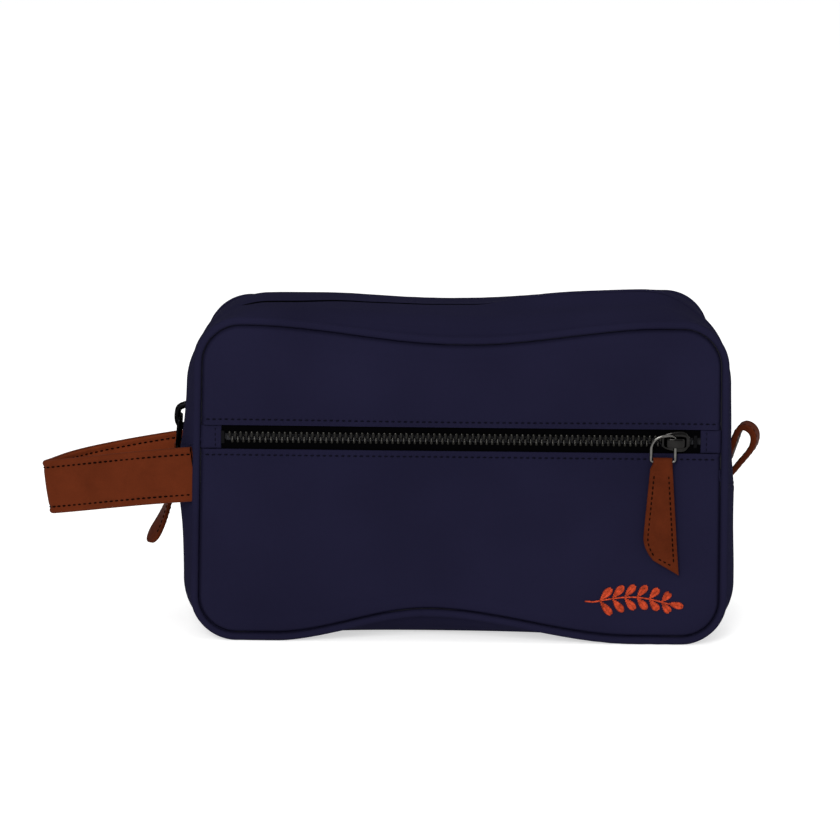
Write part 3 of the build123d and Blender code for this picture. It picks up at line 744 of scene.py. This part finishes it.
back_lining()
main_tape("front", -1)
main_tape("back", 1)
gusset_lining()
bottom_gusset()
zip_gusset("gusset_front_cloth", -1, "zip_gusset_front")
zip_gusset("gusset_back_cloth", 1, "zip_gusset_back")

# ---- finish on the CAD pieces that stay ----

KEPT = {
    lining_cloth: ("lining_front", "front_pocket_back"),
    binding_cloth: ("seam_binding_front",),
    wire_metal: ("front_pull_ring",),
    black_metal: ("front_zip_stops", "main_zip_stops"),
    tape_and_painted_shade_cloth: ("front_zip_tape_lower", "front_zip_tape_upper"),
}
for material, names in KEPT.items():
    for node in names:
        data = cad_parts[node].data
        data.materials.clear()
        data.materials.append(material)

# ---- zip teeth, sliders and the main ring ----

TOOTH_STEP = 1.345  # each row's teeth fill the gaps of the other row
TOOTH_FROM, TOOTH_TO = -3.1, 0.55


def teeth(name, places, along, out, side, replaced):
    """One row of teeth. Each has legs on the tape's cord, a narrower neck and a head past the middle."""
    shape, shape_faces = rounded_unit()
    across = (TOOTH_FROM + TOOTH_TO) / 2 + shape[:, 1] * (TOOTH_TO - TOOTH_FROM) / 2
    half_l = np.interp(across, [-3.1, -1.2, -0.7, 0.0, 0.55], [0.76, 0.7, 0.42, 0.5, 0.45])
    half_t = np.interp(across, [-3.1, -1.6, -0.8, 0.55], [1.2, 1.4, 0.85, 0.8])
    parts = []
    for place, ahead, up in zip(places, along, out):
        cross = np.cross(up, ahead)
        verts = place + np.outer(shape[:, 0] * half_l, ahead) + np.outer(-side * across, cross)
        verts = verts + np.outer(shape[:, 2] * half_t, up)
        parts.append((verts, shape_faces if side < 0 else [face[::-1] for face in shape_faces]))
    add_piece(name, join_parts(parts), teeth_metal, "bag", [replaced])


def both_rows(kind, places, along, out, rows):
    """Two rows of teeth that take the places by turns. along and out are one direction, or one for each place."""
    along, out = (np.broadcast_to(v, places.shape) for v in (along, out))
    for first_one, (side, name) in enumerate(zip((-1, 1), rows)):
        pick = slice(first_one, None, 2)
        teeth(f"{kind}_teeth_{name}", places[pick], along[pick], out[pick], side, f"{kind}_zip_teeth_{name}")


def front_chain():
    last, first = 106.7, -WINDOW_L + 3.4
    x = last - TOOTH_STEP * np.arange(int((last - first) / TOOTH_STEP) + 1)
    both_rows("front", xyz(x, CHAIN_Y, ZIP_Z), np.array([1.0, 0, 0]), FORWARD, ("lower", "upper"))


def main_chain():
    left_end, right_end = 100.8, 84.0  # heights at which the chain stops
    index = np.arange(join_index(left_end, False), join_index(right_end, True))
    line = BELT_LINE[index] - CHAIN_DEPTH * BELT_OUT[index]
    run = run_along(line)
    at = np.arange(0, run[-1], TOOTH_STEP)
    x, z = (np.interp(at, run, line[:, k]) for k in (0, 1))
    out_x, out_z = (np.interp(at, run, BELT_OUT[index, k]) for k in (0, 1))
    out = xyz(out_x, 0.0, out_z)
    both_rows("main", xyz(x, 0.0, z), np.cross(BACKWARD, out), out, ("front", "back"))


def slider_shell(high, low):
    """One plate of a slider with a domed face, its plan narrow at both ends."""
    long, sides = 6.8, 32
    x = np.linspace(-long, long, 33)
    at = [-long, -6.3, -5.0, -2.0, 1.5, 4.2, 5.6, 6.5, long]
    half_w = np.interp(x, at, [2.2, 3.2, 4.0, 4.8, 5.2, 5.0, 4.0, 2.6, 1.6])
    half_w = np.convolve(np.pad(half_w, 2, mode="edge"), np.ones(5) / 5, mode="valid")
    c, s = circle(sides)
    dome = high - 0.55 * (x / long) ** 4 * (high - low)
    mid, half = (dome + low) / 2, (dome - low) / 2
    y = half_w[:, None] * soft(c, 0.55)
    z = mid[:, None] + half[:, None] * soft(s, 0.55)
    return xyz(x[:, None], y, z).reshape(-1, 3), capped_faces(len(x), sides)


def slider_arch(reach, top, half_t):
    """The arched cap over the ring. Above a height of 2 its knots are stretched to reach top."""
    rise = (top - 2 - half_t) / 4.1
    knots = [(-5.2, 1.6), (-5.0, 3.4), (-3.8, 5.5), (-1.6, 6.1), (1.4, 6.1), (3.3, 5.4), (4.4, 3.6), (4.5, 1.6)]
    knots = [(x * reach, z if z < 2 else 2 + (z - 2) * rise) for x, z in knots]
    line = spline_points(knots, [(0, 1), (0, -1)], 7)
    out = turned(np.gradient(line, axis=0))
    c, s = circle(20)
    width = 2.35 * soft(c, 0.5)
    thick = half_t * soft(s, 0.6)
    flat = line[:, None, :] + out[:, None, :] * thick[None, :, None]
    return xyz(flat[..., 0], width, flat[..., 1]).reshape(-1, 3), capped_faces(len(line), len(c))


def slider(kind, origin, along, out, cap, finish):
    """A slider's two plates, the post between them and its cap."""
    along, out = np.array(along, float), np.array(out, float)
    axes = np.array([along, np.cross(out, along), out])
    block, block_faces = rounded_unit()
    post = (block * np.array([1.2, 0.9, 1.2]) + np.array([4.4, 0, 0]), block_faces)
    shells = join_parts([slider_shell(2.45, 0.6), slider_shell(-0.6, -2.25), post])
    body = f"{kind}_slider"
    for name, (verts, faces), replaced in (("shells", shells, "body"), ("cap", slider_arch(*cap), "bridge")):
        verts = verts @ axes + origin
        add_piece(f"{body}_{name}", (verts, faces), finish, body, [f"{body}_{replaced}"])


def main_ring():
    """A wire loop through the main slider's cap, with rounded corners."""
    down = np.array(RING_DOWN)
    half, r = 5.85, 2.0  # half the loop's width, and its corners
    flat = []
    for cx, cy, a0 in (
        (half - r, -r, 90),
        (half - r, r - RING_LONG, 0),
        (r - half, r - RING_LONG, -90),
        (r - half, -r, 180),
    ):
        for a in np.radians(a0 - np.linspace(0, 90, 9)):
            flat.append((cx + r * math.cos(a), cy + r * math.sin(a)))
    dense = []
    for a, b in zip(flat, flat[1:] + flat[:1]):
        dense.append(mix(a, b, np.array([0, 0.5])))
    dense = np.concatenate(dense)
    points = RING_AT + dense[:, :1] * BACKWARD - dense[:, 1:] * down
    wire = tube(points, 1.1, sides=14, closed=True, up=np.cross(down, BACKWARD))
    add_piece("main_ring_wire", wire, black_metal, "main_ring", ["main_pull_ring"])


RING_AT = (-140.2, 0.0, 103.0)  # the main ring's pivot
RING_LONG, RING_LEAN = 15.0, math.radians(4.0)
RING_DOWN = (-math.sin(RING_LEAN), 0, -math.cos(RING_LEAN))
front_chain()
main_chain()
slider("front", np.array([104.5, CHAIN_Y, ZIP_Z]), (1, 0, 0), (0, -1, 0), (1.0, 6.7, 0.62), slider_metal)
slider("main", np.array([-133.4, 0.0, 103.0]), (0, 0, -1), (-1, 0, 0), (1.2, 9.6, 1.6), black_metal)
main_ring()

# ---- leather pulls ----


def front_pull_edges(v):
    """Left and right edges of the front pull at a distance below its ring: a rounded corner and a slanted tip."""
    left = np.where(v < 37, -4.85 - 1.0 * ease((v - 1) / 3) - 2.75 * v / 37, 0)
    t = np.clip((v - 37) / 12.5, 0, 1)
    left = np.where(v >= 37, -8.6 - 0.25 * np.sin(math.pi * t) * (1 - t) + 5.0 * t**2.1, left)
    left = np.where(v > 49.5, -3.6 + (v - 49.5) / 7.3 * 12.7, left)
    right = 4.6 + 4.6 * v / 56.8
    return left, right


def main_pull_edges(v):
    """The main pull widens to a rounded end."""
    half = 4.7 + 3.2 * ease(v / 34)
    tip = np.sqrt(np.clip(1 - ((v - 44.5) / 7.6) ** 2, 0.0, 1.0))
    half = np.where(v > 44.5, half * tip ** 0.8, half)
    return -half, half


def pull(name, place, body, replaced, pull_edges, length, slanted, twist=0.0, curl=(0.0, 0.0)):
    """A strip folded round the ring and sewn to itself, in a frame that hangs down its own -Z."""
    fold_r = 1.95  # of the fold round the ring
    v = np.concatenate([-fold_r * np.cos(np.linspace(0, math.pi / 2, 9))[:-1], np.linspace(0, length, 110)])
    left, right = pull_edges(np.maximum(v, 0))
    fold = np.sqrt(np.maximum(fold_r**2 - v**2, 0.0))
    half = np.where(v < 0, fold, 1.15 + 0.8 * (1 - ease(v / 5.5)))
    c, s = circle(44)
    across = soft(c, 0.32)
    thick = soft(s, 0.75)
    notch = 1 - 0.05 * bell(s, 0.12)
    mid, wide = (left + right) / 2, (right - left) / 2
    x = mid[:, None] + wide[:, None] * across * notch
    y = half[:, None] * thick
    edge = wide[:, None] - np.abs(x - mid[:, None])
    row = bell(edge - 2.5, 0.6) * ease((v[:, None] - 5) / 2)
    y -= np.sign(y) * 0.14 * row
    points = xyz(x, y, -v[:, None]).reshape(-1, 3)
    points[:, 1] += 0.12 * ripples(points, 26.0, 31)
    faces = capped_faces(len(v), len(c))

    rows, face_y = [], 1.02
    for side in (-1, 1):
        lines = []
        for edge_side, inward, stops_at in ((0, 2.2, 8.3), (1, -2.2, 5.8)):
            down = np.linspace(6.5, length - stops_at, 60)
            xs = pull_edges(down)[edge_side] + inward
            lines.append(xyz(xs, side * face_y, -down))
        if slanted:
            ends = [-1.4, side * face_y, -48.4], [5.6, side * face_y, -52.0]
            lines.append(mix(*ends, np.linspace(0, 1, 20)))
        for line in lines:
            rows += stitch_row(line, side * BACKWARD, TAB_PITCH, length=1.6, radius=0.33, lift=0.06)
    threads, thread_faces = join_parts(rows)

    def settle(p):
        v = -p[:, 2]
        turn = twist * ease((v - 18) / 32)
        x = p[:, 0] * np.cos(turn) - p[:, 1] * np.sin(turn)
        y = p[:, 0] * np.sin(turn) + p[:, 1] * np.cos(turn) + curl[0] * v / 50 - curl[1] * (v / 50) ** 2
        return np.array([place @ Vector(q) for q in xyz(x, y, p[:, 2])])

    add_piece(name, (settle(points), faces), brown_small, body, [replaced])
    add_piece(name + "_stitches", (settle(threads), thread_faces), brown_thread_and_painted_hole_shade, body)


FRONT_PLACE = Matrix.Translation(Vector((98.25, -50.1, 93.1)))
PULL_LEAN = math.radians(14.0)
PULL_DOWN = Vector((-math.sin(PULL_LEAN), 0, -math.cos(PULL_LEAN)))
PULL_ACROSS = Vector((0, -1, 0))
PULL_AXES = Matrix((PULL_ACROSS, (-PULL_DOWN).cross(PULL_ACROSS), -PULL_DOWN)).transposed().to_4x4()
MAIN_PLACE = Matrix.Translation(Vector(RING_AT) + Vector(RING_DOWN) * RING_LONG) @ PULL_AXES
pull("front_pull_strip", FRONT_PLACE, "front_pull", "front_pull_leather", front_pull_edges, 56.7, True)
TWIST, CURL = 0.34, (12.0, 13.8)  # the main pull hangs free, so it twists and curls
pull("main_pull_strip", MAIN_PLACE, "main_pull", "main_pull_leather", main_pull_edges, 52.0, False, TWIST, CURL)

# ---- wrist strap and tab loop ----

# the strap's middle line starts at its near root, turns at its crease and ends at its far root
STRAP_START = Vector((-129.0, -44.4, 83.7))
STRAP_CREASE = Vector((-205.8, -15.5, 69.9))
STRAP_END = Vector((-129.0, 44.1, 75.8))
STRAP_SHOWS = -130.9  # where it goes into the gusset
STRAP_W = 26.9
STRAP_T = 3.0
STRAP_ROW = 3.5  # from its edge to its stitches


def strap_frame():
    """The origin and axes of the plane that the strap bends in, and that plane's normal."""
    up = (STRAP_END - STRAP_START).cross(STRAP_CREASE - STRAP_START).normalized()
    x_dir = Vector((1, 0, -up.x / up.z)).normalized()
    return STRAP_START, x_dir, up.cross(x_dir), up


def strap_line():
    """The strap's middle line in the plane that it bends in: near band, crease, bowed far band."""
    origin, ex, ey, _ = strap_frame()
    crease, end = (np.array([(p - origin).dot(ex), (p - origin).dot(ey)]) for p in (STRAP_CREASE, STRAP_END))
    near = crease / np.linalg.norm(crease)
    far = np.array([0.43, 0.903])
    turn = math.acos(float(near @ far))
    radius = 3.0  # of the crease
    reach = radius * math.tan(turn / 2)
    bend_in, bend_out = crease - near * reach, crease + far * reach
    centre = bend_in + np.array([near[1], -near[0]]) * radius
    start = math.atan2(*(bend_in - centre)[::-1])
    angles = start - np.linspace(0, turn, 22)
    arc = centre + radius * np.stack([np.cos(angles), np.sin(angles)], axis=1)
    t = np.linspace(0, 1, 90, endpoint=False)[:, None]
    bow = np.array([near[1], -near[0]]) * -1.2 * np.sin(math.pi * t)
    band = bend_in * t + bow
    belly = crease + np.array([19.6, 35.0])
    last = np.array([0.95, 0.31])
    back = spline_points([bend_out, belly, end], [far, last / np.linalg.norm(last)], 60)
    return np.concatenate([band, arc[:-1], back])


def strap():
    origin, ex, ey, up = (np.array(v) for v in strap_frame())
    plane = np.array([ex, ey])
    line = strap_line()
    out = turned(np.gradient(line, axis=0))
    run = run_along(line)
    w, t = STRAP_W / 2, STRAP_T / 2
    u = np.linspace(-1, 1, 33)
    h = u * (w - 0.75)
    sink = 0.4 * bell(np.abs(h) - (w - STRAP_ROW), 0.8) - 0.3 * bell(np.abs(h) - (w - 1.6), 0.8)
    face_points = np.stack([t - 0.1 - sink + 0.12 * (1 - u**4), h], axis=1)
    turns = [math.radians(a) for a in (70, 45, 20)]
    corner = [(0.12 + (t - 0.3) * math.sin(a), w - 0.7 + 0.7 * math.cos(a)) for a in turns]
    corner += [(0.0, w - 0.22)] + [(-thick, high) for thick, high in corner[::-1]]
    outer = np.concatenate([face_points, corner])
    profile = np.concatenate([outer, -outer])  # thickness and height, once round the strap
    sway = 0.35 * np.sin(run / 19.0) - 0.35
    flat = line[:, None, :] + out[:, None, :] * profile[None, :, 0:1]
    points = origin + flat @ plane + profile[None, :, 1:2] * up
    points[..., 2] += sway[:, None]
    keep = line[:, 0] * ex[0] + origin[0] < STRAP_SHOWS + 1.2
    points = points[keep]
    uneven = 0.1 * ripples(points, 16.0, 41)
    points += (out[keep] @ plane)[:, None, :] * uneven[..., None]
    rows, cols = points.shape[:2]
    faces = capped_faces(rows, cols)
    nodes = ["strap_inner_leather", "strap_outer_leather", "strap_root_front", "strap_root_back"]
    leather_strap = add_piece("wrist_strap", (points, faces), brown, None, nodes)
    # The inner face gets the lighter copy of the leather: painted light on a face that lies in shade.
    leather_strap.data.materials.append(brown_inside_painted_light)
    inside = [int(len(outer) <= face[0] % cols < len(outer) + len(u) - 1 and len(face) == 4) for face in faces]
    leather_strap.data.polygons.foreach_set("material_index", inside)

    parts = []
    for face in (1, -1):
        for edge in (1, -1):
            flat_line = line[keep] + out[keep] * face * (t - 0.34)
            row = origin + flat_line @ plane + edge * (w - STRAP_ROW) * up
            row[:, 2] += sway[keep]
            normal = out[keep] @ plane * face
            parts += stitch_row(row, normal, CANVAS_PITCH, length=1.8, radius=0.42, lift=0.05)
    threads = add_piece("wrist_strap_stitches", join_parts(parts), brown_thread_and_painted_hole_shade)
    for piece in (leather_strap, threads):
        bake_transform(piece)


strap()


def tab_loop():
    """The side loop, up its outer limb and down its inner one."""
    outer_limb = [(135.0, 75.2), (141.2, 82.3), (146.9, 89.9), (148.3, 95.2), (146.7, 99.3)]
    inner_limb = [(142.9, 101.2), (140.0, 98.8), (137.7, 92.0), (135.2, 84.0)]
    knots = np.array(outer_limb + inner_limb)
    line = spline_points(knots, [(0.8, 0.6), (-0.25, -0.97)], 12)
    out = turned(np.gradient(line, axis=0))
    w, t, row_in, tilt = 6.5, 1.6, 2.0, 0.27  # half width, half thickness, edge to stitches, tilt about its line
    c, s = circle(40)
    across = w * soft(c, 0.22)
    thick = t * soft(s, 0.6)
    thick -= np.sign(thick) * 0.12 * bell(np.abs(across) - (w - row_in), 0.5)
    lean = np.array([math.sin(tilt), math.cos(tilt), 0.0])

    def upright(flat):
        return xyz(flat[..., 0], 0.0, flat[..., 1])

    points = upright(line[:, None] + out[:, None] * thick[None, :, None]) + across[None, :, None] * lean
    faces = capped_faces(len(line), len(c))
    add_piece("side_loop", (points, faces), brown_small, "bag", ["side_tab_loop"])
    parts = []
    for face in (1, -1):
        for edge in (1, -1):
            row = upright(line + out * face * (t - 0.14)) + edge * (w - row_in) * lean
            parts += stitch_row(row[6:-6], upright(out * face)[6:-6], CANVAS_PITCH, radius=0.2, lift=0.02)
    add_piece("side_loop_stitches", join_parts(parts), brown_thread_and_painted_hole_shade, "bag")


tab_loop()

# ---- embroidery ----


def leaf_threads(base, angle, length, width, spacing=0.8):
    """A satin-stitched leaf: threads laid side by side from its middle out to each edge."""
    direction = np.array([math.cos(angle), math.sin(angle)])
    parts = []
    for side in (-1, 1):
        cross = np.array([-direction[1], direction[0]]) * side
        for t in np.arange(0.03, 0.97, spacing / length):
            half = width / 2 * math.sin(math.pi * t) ** 0.8
            start = base + direction * length * t
            end = start + cross * half + direction * half * 0.75
            if (end - base) @ direction > length:
                end = start + cross * half * 0.6 + direction * (length * (1 - t)) * 0.8
            s = np.linspace(0, 1, 6)
            flat = mix(start, end, s)
            rise = 0.1 + 0.4 * np.sin(math.pi * s) ** 0.7
            surface = panel_surface(flat[:, 0], flat[:, 1], -1)
            surface[:, 1] -= rise
            parts.append(tube(surface, 0.4, sides=6, up=FORWARD))
    return parts


def embroidery():
    """A sprig: pairs of leaves up a bowed stem and one leaf at its tip."""
    x0, z0, length, bow, count = 66.0, 21.0, 36.0, 3.4, 6
    parts = []
    for k in range(count):
        t = (k + 0.5) / count
        x, z = x0 + length * t, z0 + bow * math.sin(math.pi * t)
        for side in (-1, 1):
            base = np.array([x, z + side * 0.5])
            parts += leaf_threads(base, side * math.radians(50), 8.4 - 0.5 * k, 3.4)
    parts += leaf_threads(np.array([x0 + length + 0.2, z0 + 0.3]), math.radians(-12), 7.2, 3.2)
    t = np.linspace(0.0, 1.0, 26)
    stem_z = z0 + bow * np.sin(math.pi * np.clip(t * 1.1 - 0.1, 0, 1))
    stem = np.stack([x0 - 4 + (length + 4.5) * t, stem_z], axis=1)
    for a, b in zip(stem[:-1], stem[1:]):
        s = np.linspace(-0.35, 1.25, 5)[:, None]
        flat = a * (1 - s) + b * s + np.array([0, 0.2]) * (s - 0.5)
        surface = panel_surface(flat[:, 0], flat[:, 1], -1)
        surface[:, 1] -= 0.15 + 0.3 * np.sin(math.pi * np.linspace(0, 1, 5))
        parts.append(tube(surface, 0.34, sides=7, up=FORWARD))
    replaced = ["embroidered_sprig"]
    add_piece("sprig_embroidery", join_parts(parts), orange_thread, "bag", replaced)


embroidery()

# ---- floor, light and camera ----


def stage():
    half, below = 6000.0, -0.05
    corners = np.array([[x * half, y * half, below] for x, y in ((-1, -1), (1, -1), (1, 1), (-1, 1))])
    mesh = bpy.data.meshes.new("floor")
    mesh.from_pydata((corners * MM).tolist(), [], [(0, 1, 2, 3)])
    n = Nodes("pale_floor", roughness=0.9, specular=0.0)
    glow = {"Base Color": (0.6, 0.6, 0.6, 1), "Emission Color": (1, 1, 1, 1), "Emission Strength": 0.58}
    n.fill(n.shader, glow)
    mesh.materials.append(n.material)
    floor = put("floor", mesh)


def area_light(name, place, target, size, power):
    light = bpy.data.lights.new(name, "AREA")
    light.energy = power
    light.size = size
    obj = put(name, light)
    obj.location = place
    obj.rotation_euler = (Vector(target) - Vector(place)).to_track_quat("-Z", "Y").to_euler()


def camera():
    focal, wide = 3055, 840  # in points of the picture
    data = bpy.data.cameras.new("camera")
    data.sensor_width = 36.0
    data.lens = focal / wide * data.sensor_width
    data.clip_end = 50.0
    cam = put("camera", data)
    pitch, roll = math.radians(11.54), math.radians(0.6)
    forward = Vector((0, math.cos(pitch), -math.sin(pitch)))
    turn = forward.to_track_quat("-Z", "Y").to_matrix().to_4x4()
    place = Matrix.Translation(Vector((-20.0, -1500.9, 408.7)) * MM)
    cam.matrix_world = place @ turn @ Matrix.Rotation(roll, 4, "Z")
    bpy.context.scene.camera = cam


stage()
area_light("key", (-0.5, -1.8, 1.1), (0, 0, 0.08), 0.85, 30.0)
area_light("top", (0.2, 0.2, 1.6), (0, 0, 0.1), 1.2, 6.0)
area_light("side", (1.5, -0.6, 0.5), (0, 0, 0.1), 0.7, 3.0)


def studio():
    """White where the camera sees it. What lights the bag is bright overhead and falls off to the horizon."""
    world = bpy.data.worlds.new("studio")
    world.use_nodes = True
    n = Tree(world.node_tree)
    height = n.add("ShaderNodeSeparateXYZ", "Z", {"Vector": n.add("ShaderNodeTexCoord", "Generated", {})})
    values = {"Value": height, "From Min": -0.1, "From Max": 0.9, "To Min": 0.38, "To Max": 0.8}
    light = n.add("ShaderNodeMapRange", "Result", values)
    seen = n.add("ShaderNodeLightPath", "Is Camera Ray", {})
    strength = n.add("ShaderNodeMath", "Value", {0: light, 1: seen}, operation="MAXIMUM")
    n.fill(n.tree.nodes["Background"], {"Color": (1, 1, 1, 1), "Strength": strength})
    bpy.context.scene.world = world


studio()
bpy.context.scene.view_settings.view_transform = "Standard"
camera()
